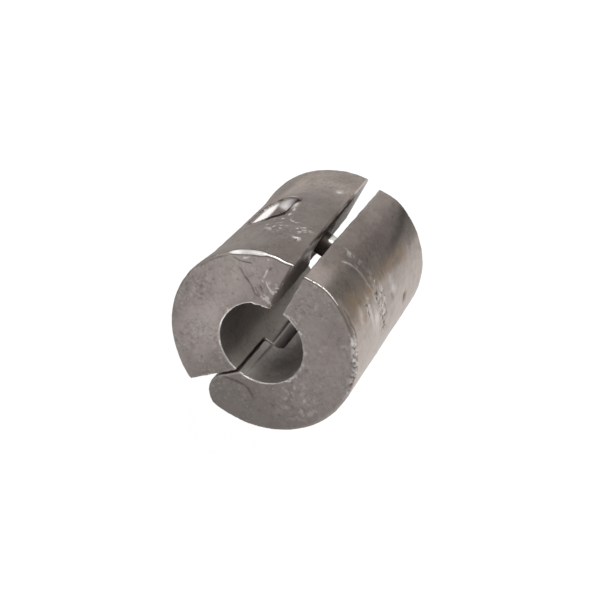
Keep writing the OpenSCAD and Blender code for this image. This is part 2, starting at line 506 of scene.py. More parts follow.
def snapped_mouth(across, y, up):
    """Points close to the outer edge of the peg's hole, drawn onto it."""
    straight = HOLE_HALF_L - HOLE_HALF_H
    middle = PEG_Y + np.clip(y - PEG_Y, -straight, straight)
    d = np.hypot(y - middle, up - PEG_Z)
    mouth = (abs(d - HOLE_HALF_H) < 2 * SNAP) & (np.hypot(across, up) > OUTER_R - 2 * SNAP)
    grow = np.where(mouth, HOLE_HALF_H / np.maximum(d, SNAP), 1)
    y = middle + (y - middle) * grow
    up = PEG_Z + (up - PEG_Z) * grow
    across = np.where(mouth, -np.sqrt(np.maximum(OUTER_R**2 - up**2, 0)), across)
    return across, y, up


def snapped(co, left):
    """Points close to an end, the slot's wall or the bore, drawn onto it."""
    x, y, z = co.T
    y = np.where(HALF_L - abs(y) < SNAP, np.sign(y) * HALF_L, y)
    across, up = slot_frame(x, z)
    wall = slot_wall(y, left)
    across = np.where((abs(across - wall) < SNAP) & (up > BORE_R - 0.5), wall, across)
    if left:
        across, y, up = snapped_mouth(across, y, up)
    x = across * SLOT_COS - up * SLOT_SIN
    z = up * SLOT_COS + across * SLOT_SIN
    r = np.hypot(x, z)
    scale = np.where(abs(r - BORE_R) < SNAP, BORE_R / r, 1)
    return np.stack([x * scale, y, z * scale], 1)


def rounded_rim(co, radii, end):
    """Rounds the outer rim of one end (-1 front, 1 back) to a radius that changes with the angle."""
    x, y, z = co.T
    r = np.hypot(x, z)
    size = np.interp(np.degrees(np.arctan2(z, x)) % 360, *radii)
    inward = size - (OUTER_R - r)
    forward = size - (HALF_L - end * y)
    away = np.hypot(inward, forward)
    over = (inward > 0) & (forward > 0) & (away > size)
    pull = np.where(over, 1 - size / np.maximum(away, 1e-6), 0)
    shrink = 1 - pull * inward / r
    return np.stack([x * shrink, y - end * pull * forward, z * shrink], 1)


def sag_at(angle, left):
    """How far a jaw's front rim has sunk beside the slot, by the angle."""
    if left:
        return SAG_LEFT_H * bell(angle - SAG_LEFT_ANGLE, SAG_LEFT_W)
    return ease(*SAG_RIGHT, angle)


def tip_at(angle):
    """How far the left jaw's tip hangs into the bore, by the angle."""
    return np.interp(angle, *TIP, left=0, right=0)


def sagged(co, left):
    """The right jaw's slot edge sunk along its length, or the left jaw's tip hung and its side flattened."""
    x, y, z = co.T
    r = np.hypot(x, z)
    angle = np.degrees(np.arctan2(z, x))
    near_outside = ease(OUTER_R - SAG_REACH, OUTER_R, r)
    if left:
        near_front = ease(*TIP_Y, y)
        near_bore = ease(BORE_R + TIP_REACH, BORE_R, r)
        flat = between(angle % 360, *FLAT_SIDE) * np.interp(y, *FLAT_ALONG)
        drop = (sag_at(angle, left) * near_front + flat) * near_outside
        drop += tip_at(angle) * near_front * near_bore
    else:
        drop = sag_at(angle, left) * np.interp(y, *SAG_ALONG) * near_outside
    scale = 1 - drop / r
    return np.stack([x * scale, y, z * scale], 1)


def refined(mesh, left):
    """Splits the faces where the front end has its finest marks."""
    bm = bmesh.new()
    bm.from_mesh(mesh)
    fine = set()
    for v in bm.verts:
        x, y, z = (c / MM for c in v.co)
        angle = math.degrees(math.atan2(z, x))
        end = y < FINE_DEPTH - HALF_L
        rim = math.hypot(x, z) > OUTER_R - FINE_RIM
        nicked = rim and NICKED[0] < y < NICKED[1]
        if left and FINE_LEFT[0] < angle < FINE_LEFT[1] and (end or nicked):
            fine.add(v)
        if not left and FINE_RIGHT[0] < angle < FINE_RIGHT[1] and end and rim:
            fine.add(v)
    edges = [e for e in bm.edges if e.verts[0] in fine and e.verts[1] in fine]
    bmesh.ops.subdivide_edges(bm, edges=edges, cuts=1, use_grid_fill=True)
    bm.to_mesh(mesh)
    bm.free()


def remeshed(node, name):
    """A copy of a CAD node as an even grid of small faces, at the same place."""
    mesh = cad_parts[node].data.copy()
    bm = bmesh.new()
    bm.from_mesh(mesh)
    bmesh.ops.remove_doubles(bm, verts=bm.verts, dist=WELD * MM)
    bm.to_mesh(mesh)
    bm.free()
    rough = new_object(name + "_rough", mesh)
    remesh = rough.modifiers.new("grid", "REMESH")
    remesh.mode = "VOXEL"
    remesh.voxel_size = VOXEL * MM
    fine = bpy.data.meshes.new_from_object(
        rough.evaluated_get(bpy.context.evaluated_depsgraph_get())
    )
    bpy.data.objects.remove(rough)
    bpy.data.meshes.remove(mesh)
    fine.name = name
    fine.materials.clear()
    return new_object(name, fine)


class Chart:
    """One face of a jaw laid flat: the place of each point on it in mm, and its share of being on it."""

    def __init__(self, u, v, u_scale, share):
        self.places = np.stack([u * u_scale, v], 1)
        self.scale = (u_scale, 1)
        self.share = share

    def lines(self, table, shift=0.0, ends=LINE_ENDS):
        """The profile of each line in a table, with the last value of its row."""
        for points, width, value in table:
            profile = stroke(self.places + shift, np.array(points) * self.scale, width, ends)
            yield profile * self.share, value

    def spots(self, table, shift=0.0):
        """The same for a table of spots."""
        for centre, width, value in table:
            away = np.linalg.norm(self.places + shift - np.array(centre) * self.scale, axis=1)
            yield bell(away, width) * self.share, value


class Casting:
    """The points of a rough cast jaw. Lengths are in mm, angles in degrees, and shares from 0 to 1."""

    def __init__(self, even, sunk, edge, left):
        """Even and sunk are the points before and after the jaw sags, and edge is how much they stick out."""
        self.co = sunk
        self.left = left
        self.right = not left
        self.x, self.y, self.z = x, y, z = even.T
        self.angle = np.degrees(np.arctan2(z, x))
        self.turn = self.angle % 360
        self.across, self.up = slot_frame(x, z)
        self.depth = y + HALF_L
        self.below = OUTER_R - np.hypot(x, z)
        self.over_bore = np.hypot(x, z) - BORE_R
        self.find_faces()
        rim_size = np.interp(self.turn, *RIM_ROUND)
        rim = self.at_rim(rim_size + ROUNDED_RIM[0], rim_size + ROUNDED_RIM[1])
        self.edges = edge * (1 - rim) * (1 - self.hinge)
        self.wobble = np.stack([noise(sunk, *WOBBLE_U), noise(sunk, *WOBBLE_V)], 1)
        self.broken = patchy(sunk, *GAPS)
        self.height = np.zeros(len(sunk))
        self.looks = {look: np.zeros(len(sunk)) for look in TRACED_LOOKS}

    def find_faces(self):
        """Which face of the jaw each point is on."""
        y, across, up = self.y, self.across, self.up
        self.outer = ease(*OUTER_SKIN, self.below)
        self.front = ease(*END_SKIN, self.depth)
        self.ends = np.maximum(self.front, ease(*END_SKIN, HALF_L - y))
        self.shell = np.maximum(self.outer, self.ends)
        self.bore = ease(*BORE_SKIN, self.over_bore)
        wall_x = slot_wall(y, self.left)
        self.wall = ease(*WALL_SKIN, abs(across - wall_x)) * ease(*WALL_FOOT, up)
        self.far_wall = self.wall * ease(*FAR_WALL_Y, y) * self.left
        beyond = np.maximum(abs(y - PEG_Y) - (HOLE_HALF_L - HOLE_HALF_H), 0)
        self.hole_d = np.hypot(beyond, up - PEG_Z) - HOLE_HALF_H
        self.hole_skin = ease(*WALL_SKIN, abs(self.hole_d)) * self.left
        self.hole = self.hole_skin * (across < wall_x - WALL_SKIN[1]) * (1 - self.outer)
        hinge_d = np.hypot(self.x - HINGE_X, self.z - HINGE_Z)
        self.hinge = ease(*HINGE_ZONE, hinge_d) * (1 - self.shell)
        self.face = Chart(self.x, self.z, 1, self.front)
        self.side = Chart(self.angle, y, math.radians(OUTER_R), self.outer)
        self.inside = Chart(self.angle, y, math.radians(BORE_R), self.bore)

    def at_rim(self, far, near):
        """1 within near mm of both the front end and the outside, and 0 beyond far mm of one."""
        return ease(far, near, self.depth) * ease(far, near, self.below)

    def on_front(self, centre, far, near):
        """A round patch of the front face, full within near mm of its middle."""
        return ease(far, near, np.hypot(self.x - centre[0], self.z - centre[1])) * self.front

    def add(self, look, *shares):
        """Raises a look to the greatest of some shares."""
        self.looks[look] = greatest(self.looks[look], *shares)

    def add_all(self, look, marks, tone=1):
        """Raises a look along each of some marks, to the mark's own share."""
        for profile, share in marks:
            self.add(look, share * profile * tone)

    def mark(self, profile, height, look, share):
        """A mark that stands out by its height, or sinks in below 0, with a look of its own."""
        self.height += height * profile
        self.add(look, share * profile)


def add_skin(jaw):
    """The waves and grain of the cast skin, and the sill that swells from the slot's left wall."""
    skin = (jaw.shell + jaw.bore + jaw.wall).clip(0, 1)
    sill = ease(*SILL_UP, jaw.up) * between(jaw.y, *SILL_Y) * jaw.wall * jaw.left
    jaw.height -= SIDE_INSET * jaw.outer * (1 - jaw.ends) + END_INSET * jaw.ends
    jaw.height += noise(jaw.co, *WAVES) * skin + noise(jaw.co, *GRAIN) * jaw.shell + SILL_H * sill


def add_edges(jaw):
    """The crumbled front rim, the uneven edges, and the burr squeezed up round the peg's seat."""
    jaw.crumble = np.interp(jaw.angle, *CRUMBLE)
    teeth = jaw.crumble * jaw.at_rim(*TEETH_RIM) * (noise(jaw.co, *TEETH) + TOOTH_LIFT)
    bore_rim = ease(*BORE_RIM, jaw.depth) * ease(*BORE_RIM, jaw.over_bore)
    bare_rim = jaw.at_rim(*BARE_RIM) * between(jaw.angle, *BARE_ANGLES) * jaw.right
    seat_d = np.hypot(jaw.y - PEG_Y, jaw.up - PEG_Z) - PEG_R
    jaw.burr = bell(seat_d, BURR_W) * jaw.wall * jaw.right
    jaw.height += teeth + jaw.edges * noise(jaw.co, *EDGE_BUMPS) + bore_rim * noise(jaw.co, *BORE_BUMPS)
    jaw.height += BURR_H * jaw.burr * (0.8 + noise(jaw.co, *BURR_BUMPS))
    jaw.add("wear", np.clip(teeth / 0.3, 0, 0.42))
    jaw.add("grime_and_painted_shade", np.clip(-teeth / 0.28, 0, 0.75), 0.55 * bare_rim)


def add_scuffs(jaw):
    """The left jaw's crinkled tip, the scuffed face beside the bore, nicks, and the wrinkled right."""
    crinkled = jaw.on_front(*CRINKLED)
    left, right = (ease(*reach, jaw.over_bore) for reach in (SCUFF_LEFT, SCUFF_RIGHT))
    beside_bore = np.where(jaw.x < 0, left, right) * jaw.front
    jaw.height += crinkled * noise(jaw.co, *CRINKLES) + beside_bore * noise(jaw.co, *SCUFFS)
    jaw.height += jaw.on_front(*WRINKLED) * noise(jaw.co, *WRINKLES)
    jaw.add("scuff", beside_bore * np.interp(jaw.turn, *SCUFFED), 0.35 * crinkled)
    jaw.add_all("scuff", jaw.side.spots(NICKS))


def add_face_marks(jaw):
    """Grooves, ridges and pits of the front face."""
    half_broken = at_least(0.5, jaw.broken)
    for s, depth in jaw.face.lines(FACE_GROOVES, jaw.wobble):
        jaw.mark(s, -depth, "grime_and_painted_shade", 0.75 * half_broken)
    for s, height in jaw.face.lines(FACE_RIDGES, 0.6 * jaw.wobble):
        jaw.mark(s * half_broken, height, "wear", 0.65)
    pits = [(centre, size, PIT_DEPTH) for centre, size in FACE_PITS]
    for s, depth in jaw.face.spots(pits, jaw.wobble):
        jaw.mark(s, -depth, "grime_and_painted_shade", 0.35)


def add_side_marks(jaw):
    """Ridges, grooves, dents and bright spots of the outside, and the line scored along the bore."""
    for s, height in jaw.side.lines(SIDE_RIDGES, 0.5 * jaw.wobble):
        jaw.mark(s * at_least(0.5, jaw.broken), height, "wear", 1.0)
    for s, depth in jaw.side.lines(SIDE_GROOVES, jaw.wobble):
        jaw.mark(s * at_least(0.3, jaw.broken), -depth, "grime_and_painted_shade", 0.9)
    for s, depth in jaw.side.spots(SIDE_DENTS, jaw.wobble):
        jaw.mark(s, -depth, "grime_and_painted_shade", 0.7 * jaw.right)
    jaw.add_all("wear", jaw.side.spots(SIDE_SPOTS, jaw.wobble))
    for s, depth in jaw.inside.lines(BORE_GROOVES[jaw.left], ends=BORE_GROOVE_ENDS):
        jaw.mark(s, -depth, "grime_and_painted_shade", 0.95)
        jaw.scored = s


def raised(jaw, normals):
    """The points moved by their heights, kept out of the hinge's gaps and inside the solids' box."""
    height = np.where(jaw.hinge > 0.5, np.minimum(jaw.height, 0), jaw.height)
    jaw.co = jaw.co + height[:, None] * normals
    low, high = (np.array(c) / MM for c in cad_box)
    return np.clip(jaw.co, low, high)


def wear_edges(jaw):
    """Bare metal on what sticks out."""
    jaw.burred = patchy(jaw.co, *BURR_PATCHES)
    worn = 0.2 * jaw.edges * patchy(jaw.co, *EDGE_PATCHES)
    jaw.add("wear", worn, 0.7 * jaw.burr * jaw.burred)


def paint_hole_light_and_shade(jaw):
    """Painted light in the peg's hole, on its outer rim, far end and floor, and painted shade on its dark
    lower part and a painted shadow line along its mouth.
    """
    y, across, up = jaw.y, jaw.across, jaw.up
    rim = jaw.hole * ease(*HOLE_RIM, across)
    back = jaw.hole_skin * (jaw.hole_d < 0.1) * (y > PEG_Y) * (1 - 0.6 * jaw.outer)
    end = back * bell(across - HOLE_END_X, HOLE_END_W) * ease(*HOLE_END_UP, up)
    floor = jaw.hole * ease(*HOLE_FLOOR_UP, up) * ease(*HOLE_FLOOR_X, across)
    floor *= ease(*HOLE_FLOOR_Y, y)
    low = jaw.hole * between(across, *HOLE_LOW_X) * ease(*HOLE_LOW_UP, up)
    edge = jaw.hole_d - np.interp(y, *MOUTH) + noise(jaw.co, *RAGGED_MOUTH)
    mouth = ease(*MOUTH_EDGE, edge) * (jaw.hole_d > MOUTH_INSIDE) * (jaw.below < MOUTH_DEPTH)
    mouth_end = np.interp(y, *MOUTH_END)
    mouth *= ease(mouth_end + MOUTH_FADE, mouth_end - MOUTH_FADE, jaw.angle)
    mouth *= at_least(0.35, ease(*MOUTH_Y, y)) * jaw.left
    # Painted light on the hole's rim, far end and floor; painted shade on its lower part and a painted shadow
    # line at its mouth
    jaw.add("chalk", rim, end, floor)
    jaw.add("wear", rim, end, floor)
    jaw.add("grime_and_painted_shade", mouth * at_least(0.9, jaw.broken), 0.5 * low)
    jaw.looks["wear"] *= 1 - mouth


def paint_bore_light(jaw):
    """Painted light on the throat's flank, and on the right jaw's bore, more of it deeper in."""
    height = ease(*FLANK_Z, jaw.z) * (jaw.z < FLANK_Z[1])
    jaw.flank = height * (jaw.x > FLANK_X) * (abs(jaw.y) < FLANK_HALF_L) * jaw.left
    bore_painted_light = 0.18 + 0.3 * ease(*BORE_LIGHT_Y, jaw.y) + noise(jaw.co, *BORE_LIGHT_NOISE)
    bore_painted_light = np.clip(bore_painted_light, 0, 1) * jaw.bore * (1 - jaw.shell) * jaw.right
    # Painted light on the throat's flank and in the right jaw's bore
    jaw.add("wear", 0.7 * jaw.flank, bore_painted_light * (1 - jaw.scored))
    jaw.add("chalk", 0.35 * jaw.flank)


def paint_wall_shade_and_light(jaw):
    """Painted shade on the left jaw's wall of the slot, and the hatched painted light between it."""
    y, up = jaw.y, jaw.up
    ragged = noise(jaw.co, *RAGGED_WALL_SHADE)
    slope = y - FRONT_WALL_SHADE_Y + FRONT_WALL_SHADE_LEAN * (up - FRONT_WALL_SHADE_UP)
    front_wall_shade = ease(*FRONT_WALL_SHADE, slope - 2 * ragged)
    edge = np.interp(y, *TOP_EDGE_SHADE) - ragged
    top_edge_shade = ease(edge + TOP_EDGE_SHADE_FADE[0], edge + TOP_EDGE_SHADE_FADE[1], up) * between(y, *TOP_EDGE_SHADE_Y)
    hatched = patchy(jaw.co * HATCH_STRETCH, *HATCHING)
    wall_lit_patch = 0.75 * jaw.wall * between(y, *WALL_LIT_PATCH_Y) * hatched
    far_wall = 0.4 * jaw.far_wall * ease(*FAR_WALL_LIGHT_UP, up)
    unshaded = (1 - top_edge_shade) * (1 - front_wall_shade)
    # Painted shade on the wall's front part and under its top edge, and painted light on its far part and in
    # a hatched patch near the peg
    jaw.add("grime_and_painted_shade", 0.8 * jaw.wall * front_wall_shade, 0.91 * jaw.wall * top_edge_shade)
    jaw.add("wear", far_wall * unshaded, wall_lit_patch * unshaded)
    jaw.add("chalk", 0.5 * wall_lit_patch * unshaded)


def add_streaks(jaw):
    """Brown and pale streaks, mottled patches, and the pale right side, a painted reflection."""
    angle, y = jaw.angle, jaw.y
    around, along = STREAK_STRETCH
    streaks = noise(np.stack([np.radians(angle) * around, y * along, 0 * y], 1), *STREAKS)
    brown = jaw.side.lines(BROWN_STREAKS, jaw.wobble, BROWN_ENDS)
    pale = jaw.side.lines(PALE_STREAKS, jaw.wobble, PALE_ENDS)
    jaw.add_all("stain", brown, np.clip(0.8 + 0.8 * streaks, 0, 1))
    jaw.add_all("wear", pale, np.clip(0.6 + streaks, 0, 1))
    jaw.add("mottle", 0.4 * jaw.crumble * jaw.at_rim(*CRUMBLED_RIM))
    jaw.add_all("mottle", jaw.side.lines(MOTTLED, jaw.wobble, MOTTLED_ENDS))
    jaw.add_all("mottle", jaw.face.spots(FACE_SPECKS, jaw.wobble))
    # The pale right side and the pale corners by the slot are painted reflection
    edge = np.interp(y, *PALE_EDGE) + PALE_RAGGED * streaks
    side = ease(edge + PALE_FADE[0], edge + PALE_FADE[1], abs(angle))
    side *= at_least(0.7, ease(*PALE_LOW, angle))
    jaw.corner = ease(*CORNER_ANGLE, angle) * ease(*CORNER_Y, y)
    slot_side = greatest(0.4 * ease(*SLOT_SIDE_Y, y), 0.6 * jaw.corner)
    slot_side *= ease(*SLOT_SIDE_ANGLE, angle)
    jaw.add("pale", side * jaw.outer * jaw.right, slot_side * jaw.outer * jaw.right)


def shade(jaw):
    """Painted shade on the lead: beside the slot, on the left side, in the bore and on the front face; the
    dark band beside the slot is a painted dark reflection.
    """
    angle, turn, x, y = jaw.angle, jaw.turn, jaw.x, jaw.y
    middle = np.interp(y, *DARK_BAND)
    width = np.where(angle > middle, BAND_WIDE, BAND_NARROW)
    band = 0.9 * bell(angle - middle, width) * ease(*BAND_Y, y)
    beside = 0.36 * ease(*BAND_BESIDE, angle) * (1 - 0.6 * jaw.corner) * jaw.right
    left = 0.6 * ease(*LEFT_SHADE_Y, y) * ease(*LEFT_SHADE_TOP, turn)
    left = np.maximum(left, 0.5 * ease(*LEFT_SHADE_LOW, turn)) * ease(*LEFT_SHADE_END, turn)
    bore = between(turn, *BORE_SHADE) * (0.5 + 0.2 * ease(*BORE_SHADE_DEEP, turn)) * jaw.bore
    face = 0.48 * ease(*FACE_SHADE_RIGHT, x) + 0.4 * ease(*FACE_SHADE_LOW, jaw.z)
    face += 0.25 * ease(*FACE_SHADE_LEFT, x)
    other = np.maximum(greatest(band, beside, left) * jaw.outer, bore)
    return np.maximum(face * jaw.front, other * (1 - jaw.front))


def fields(jaw):
    """The looks that the lead's material reads, by name."""
    turn = jaw.turn
    dull_left = np.maximum(jaw.outer, jaw.front) * ease(*DULL_LEFT, jaw.x)
    return jaw.looks | {
        "shade": shade(jaw),
        "dull": greatest(dull_left, jaw.flank, jaw.far_wall),
        "warm": jaw.outer * (1 - jaw.ends),
        "smooth": np.maximum(jaw.bore, jaw.wall - jaw.far_wall) * (1 - jaw.shell),
        "lip": np.interp(turn, *LIP) * patchy(jaw.co, *LIP_PATCHES),
        "lip_size": np.interp(turn, *LIP_SIZE),
        "bore_lip": np.interp(turn, *BORE_BRIGHT) * np.clip(0.4 + jaw.burred, 0, 1),
        "sag": sag_at(jaw.angle, jaw.left),
        "tip": tip_at(jaw.angle) * jaw.left,
    }


def cast_surface(obj, left):
    """Rounds the edges of a jaw, and gives it the lips, chips, pits and marks of rough casting."""
    mesh = obj.data
    refined(mesh, left)
    edges = values_of(mesh.edges, "vertices", 2, np.int32)
    even = snapped(smoothed(mesh_points(mesh), edges, *GRID_SMOOTHING), left)
    for end, radii in ((-1, RIM_ROUND), (1, BACK_ROUND)):
        even = rounded_rim(even, radii, end)
    sunk = sagged(even, left)
    set_points(mesh, sunk)
    normals = values_of(mesh.vertex_normals, "vector", 3).astype(float)
    bulge = ((sunk - smoothed(sunk, edges, *EDGE_SMOOTHING)) * normals).sum(1)
    edge = np.clip((bulge - EDGE_LEAST) / EDGE_SPAN, 0, 1)

    jaw = Casting(even, sunk, edge, left)
    add_skin(jaw)
    add_edges(jaw)
    add_scuffs(jaw)
    add_face_marks(jaw)
    add_side_marks(jaw)
    set_points(mesh, raised(jaw, normals))

    wear_edges(jaw)
    paint_hole_light_and_shade(jaw)
    paint_bore_light(jaw)
    if left:
        paint_wall_shade_and_light(jaw)
    add_streaks(jaw)
    for name, values in fields(jaw).items():
        set_field(mesh, name, values)
    for p in mesh.polygons:
        p.use_smooth = True


def lathed(name, profile, origin, axis, turns=64):
    """A turned piece: profile is (radius, place along the axis), in mm."""
    along = np.array(axis, float)
    third = np.cross(along, (0, 0, 1))
    third /= np.linalg.norm(third)
    side = np.cross(third, along)
    points, faces = [], []
    for radius, place in profile:
        for k in range(turns):
            a = 2 * math.pi * k / turns
            offset = radius * (math.cos(a) * side + math.sin(a) * third)
            points.append((np.array(origin) + place * along + offset) * MM)
    last = len(points) - turns
    for i in range(0, last, turns):
        for k in range(turns):
            m = (k + 1) % turns
            faces.append((i + k, i + m, i + turns + m, i + turns + k))
    faces.append(tuple(range(turns - 1, -1, -1)))
    faces.append(tuple(range(last, last + turns)))
    mesh = bpy.data.meshes.new(name)
    mesh.from_pydata([tuple(p) for p in points], [], faces)
    bm = bmesh.new()
    bm.from_mesh(mesh)
    bmesh.ops.recalc_face_normals(bm, faces=bm.faces)
    bm.to_mesh(mesh)
    bm.free()
    for p in mesh.polygons:
        p.use_smooth = len(p.vertices) == 4
    return new_object(name, mesh)


class Nodes:
    """A material or world being put together from nodes."""

    def __init__(self, owner):
        owner.use_nodes = True
        self.owner = owner
        self.tree = owner.node_tree
        self.tree.nodes.clear()

    def add(self, kind, inputs, **settings):
        """A new node, whose inputs are set to values or linked to the outputs of others."""
        node = self.tree.nodes.new(kind)
        for name, value in settings.items():
            setattr(node, name, value)
        for name, value in inputs.items():
            if isinstance(value, bpy.types.NodeSocket):
                self.tree.links.new(value, node.inputs[name])
            else:
                node.inputs[name].default_value = value
        return node

    def place(self, kind="Object"):
        return self.add("ShaderNodeTexCoord", {}).outputs[kind]

    def field(self, name):
        return self.add("ShaderNodeAttribute", {}, attribute_name=name).outputs["Fac"]

    def noise(self, where, scale, detail, roughness=0.6, distortion=0.0):
        inputs = {"Vector": where, "Scale": scale, "Detail": detail}
        inputs |= {"Roughness": roughness, "Distortion": distortion}
        return self.add("ShaderNodeTexNoise", inputs).outputs["Fac"]

    def ramp(self, value, stops):
        node = self.add("ShaderNodeValToRGB", {"Fac": value})
        ramp = node.color_ramp
        while len(ramp.elements) < len(stops):
            ramp.elements.new(0.5)
        for element, (place, colour) in zip(ramp.elements, stops):
            element.position = place
            element.color = (*colour, 1)
        return node.outputs["Color"]

    def mix(self, share, first, second, strength=1.0, blend="MIX"):
        """first, turning into second (a colour) or tinted by it where share is 1."""
        inputs = {"Factor": self.times(share, strength), "A": first, "B": (*second, 1)}
        return self.add("ShaderNodeMix", inputs, data_type="RGBA", blend_type=blend).outputs["Result"]

    def math(self, operation, a, b, clamp=False):
        node = self.add("ShaderNodeMath", {0: a, 1: b}, operation=operation, use_clamp=clamp)
        return node.outputs["Value"]

    def times(self, a, b):
        return self.math("MULTIPLY", a, b)

    def larger(self, a, b):
        return self.math("MAXIMUM", a, b)

    def plus(self, value, other, share, clamp=False):
        """value with share times other added to it."""
        return self.math("ADD", value, self.times(other, share), clamp)

    def minus(self, value, other, share, clamp=False):
        """value with share times other taken from it."""
        return self.math("SUBTRACT", value, self.times(other, share), clamp)

    def spread(self, value, low, high):
        inputs = {"Value": value, "To Min": low, "To Max": high}
        return self.add("ShaderNodeMapRange", inputs).outputs["Result"]

    def window(self, value, start, end):
        """0 before start and 1 after end, where end may be the lower of the two."""
        inputs = {"Value": value, "From Min": start, "From Max": end}
        return self.add("ShaderNodeMapRange", inputs, interpolation_type="SMOOTHSTEP").outputs["Result"]

    def bump(self, height, strength, distance, **before):
        inputs = {"Height": height, "Strength": strength, "Distance": distance, **before}
        return self.add("ShaderNodeBump", inputs).outputs["Normal"]

    def surface(self, inputs):
        shader = self.add("ShaderNodeBsdfPrincipled", inputs)
        self.add("ShaderNodeOutputMaterial", {"Surface": shader.outputs["BSDF"]})
        return self.owner


# Colours of the lead, from its skin to its dirt and bare metal; the dirt colours also paint shade and shadow,
# the bare metal also paints light and highlights, and the pale colour paints a reflection
LEAD_TONES = [
    (0.30, (0.226, 0.193, 0.182)),
    (0.50, (0.311, 0.269, 0.254)),
    (0.70, (0.390, 0.348, 0.332)),
]
OLIVE_LEAD = (0.288, 0.271, 0.240)
PALE_SHEEN_LEAD = (0.51, 0.455, 0.44)
SMOOTH_LEAD = (0.46, 0.424, 0.384)
SHADED_LEAD = (0.10, 0.088, 0.083)
BLOT = (0.12, 0.104, 0.096)
DARK_GRAIN = (0.09, 0.078, 0.072)
PALE_GRAIN = (0.50, 0.46, 0.445)
WARM_TINT = (1.0, 0.965, 0.915)
BROWN_STAIN = (0.37, 0.275, 0.18)
DIRT_AND_SHADE = (0.075, 0.058, 0.047)
BLACK_DIRT_AND_SHADOW = (0.016, 0.012, 0.010)
BARE_LEAD_AND_HIGHLIGHT = (0.86, 0.83, 0.815)

# Noise of the lead's material: scale per metre, detail, roughness and distortion
TONE_NOISE = (110, 9, 0.68)
OLIVE_NOISE = (75, 3)
GRAIN_NOISE = (1700, 6, 0.75)
COARSE_NOISE = (150, 4)
BLOT_NOISE = (620, 5, 0.7, 0.8)
VEIN_NOISE = (170, 3, 0.55)
GLOSS_NOISE = (400, 6)
DENT_NOISE = (380, 4)
CRUMB_NOISE = (620, 3)
PALE_SPECK_NOISE = (900, 2, 0.5)
DARK_SPECK_NOISE = (1100, 2, 0.5)

# Edges of the rims' lips and of the painted shadow line beside the outer lip, in mm
LIP_EDGE = (-0.05, 0.05)
BORE_LIP_EDGE = (0.3, 0.18)
SHADOW_LINE_OUTER = (-0.34, -0.22)
SHADOW_LINE_INNER = (-0.03, -0.1)


def rim_lips(nodes, place):
    """Bright lips of the front rims, bare metal that partly stands in for a highlight, and the painted shadow
    line beside the outer one.
    """
    flat = nodes.add("ShaderNodeVectorMath", {0: place, 1: (1 / MM, 0, 1 / MM)}, operation="MULTIPLY")
    length = nodes.add("ShaderNodeVectorMath", {0: flat.outputs["Vector"]}, operation="LENGTH")
    r = length.outputs["Value"]
    y = nodes.add("ShaderNodeSeparateXYZ", {"Vector": place}).outputs["Y"]
    depth = nodes.math("ADD", nodes.math("DIVIDE", y, MM), HALF_L)
    sunk = nodes.math("SUBTRACT", nodes.math("SUBTRACT", OUTER_R, r), nodes.field("sag"))
    within = nodes.math("SUBTRACT", nodes.field("lip_size"), nodes.larger(sunk, depth))
    lip = nodes.field("lip")
    outer_lip = nodes.times(nodes.window(within, *LIP_EDGE), lip)
    hung = nodes.math("ADD", nodes.math("SUBTRACT", r, BORE_R), nodes.field("tip"))
    crumbs = nodes.window(nodes.noise(place, *CRUMB_NOISE), 0.36, 0.56)
    bore_lip = nodes.times(nodes.window(nodes.larger(hung, depth), *BORE_LIP_EDGE), nodes.field("bore_lip"))
    bore_lip = nodes.times(bore_lip, nodes.spread(crumbs, 0.35, 1.0))
    # A painted shadow line beside the outer lip
    line = nodes.times(nodes.window(within, *SHADOW_LINE_OUTER), nodes.window(within, *SHADOW_LINE_INNER))
    return nodes.larger(outer_lip, bore_lip), nodes.times(nodes.times(line, lip), 0.65)


def wear_grime_light_and_shade(nodes, place):
    """Where the lead is bare and where it is dirty, with its lips and specks; these also hold painted light
    and painted shade.
    """
    lip, line = rim_lips(nodes, place)
    mottle = nodes.field("mottle")
    pale_specks = nodes.window(nodes.noise(place, *PALE_SPECK_NOISE), 0.55, 0.62)
    dark_specks = nodes.window(nodes.noise(place, *DARK_SPECK_NOISE), 0.47, 0.41)
    chips = nodes.larger(nodes.times(nodes.field("scuff"), 0.75), nodes.times(mottle, 0.6))
    wear = nodes.larger(nodes.field("wear"), lip)
    wear = nodes.larger(wear, nodes.times(pale_specks, chips))
    line = nodes.larger(line, nodes.times(dark_specks, mottle))
    return wear, nodes.larger(nodes.field("grime_and_painted_shade"), line)


def skin_colour(nodes, place, grain, smooth):
    """Colour of the cast skin, with its tones, grain, blots and veins."""
    pale = nodes.field("pale")
    olive = nodes.window(nodes.noise(place, *OLIVE_NOISE), 0.5, 0.65)
    colour = nodes.ramp(nodes.noise(place, *TONE_NOISE), LEAD_TONES)
    colour = nodes.mix(olive, colour, OLIVE_LEAD, 0.5)
    # Pale painted reflection on the right side
    colour = nodes.mix(pale, colour, PALE_SHEEN_LEAD, 0.85)
    colour = nodes.mix(smooth, colour, SMOOTH_LEAD, 0.75)
    colour = nodes.mix(nodes.field("shade"), colour, SHADED_LEAD, 0.9)
    coarse = nodes.window(nodes.noise(place, *COARSE_NOISE), 0.42, 0.62)
    coarse = nodes.minus(coarse, nodes.larger(smooth, pale), 0.9, clamp=True)
    coarse = nodes.larger(coarse, 0.2)
    colour = nodes.mix(nodes.window(nodes.noise(place, *BLOT_NOISE), 0.52, 0.68), colour, BLOT, 0.25)
    colour = nodes.mix(nodes.times(nodes.window(grain, 0.51, 0.66), coarse), colour, DARK_GRAIN, 0.55)
    colour = nodes.mix(nodes.times(nodes.window(grain, 0.47, 0.33), coarse), colour, PALE_GRAIN, 0.35)
    crease = nodes.math("SUBTRACT", nodes.noise(place, *VEIN_NOISE), 0.5)
    veins = nodes.window(nodes.math("ABSOLUTE", crease, 0.0), 0.011, 0.003)
    return nodes.mix(nodes.math("SUBTRACT", veins, pale, clamp=True), colour, DARK_GRAIN, 0.22)


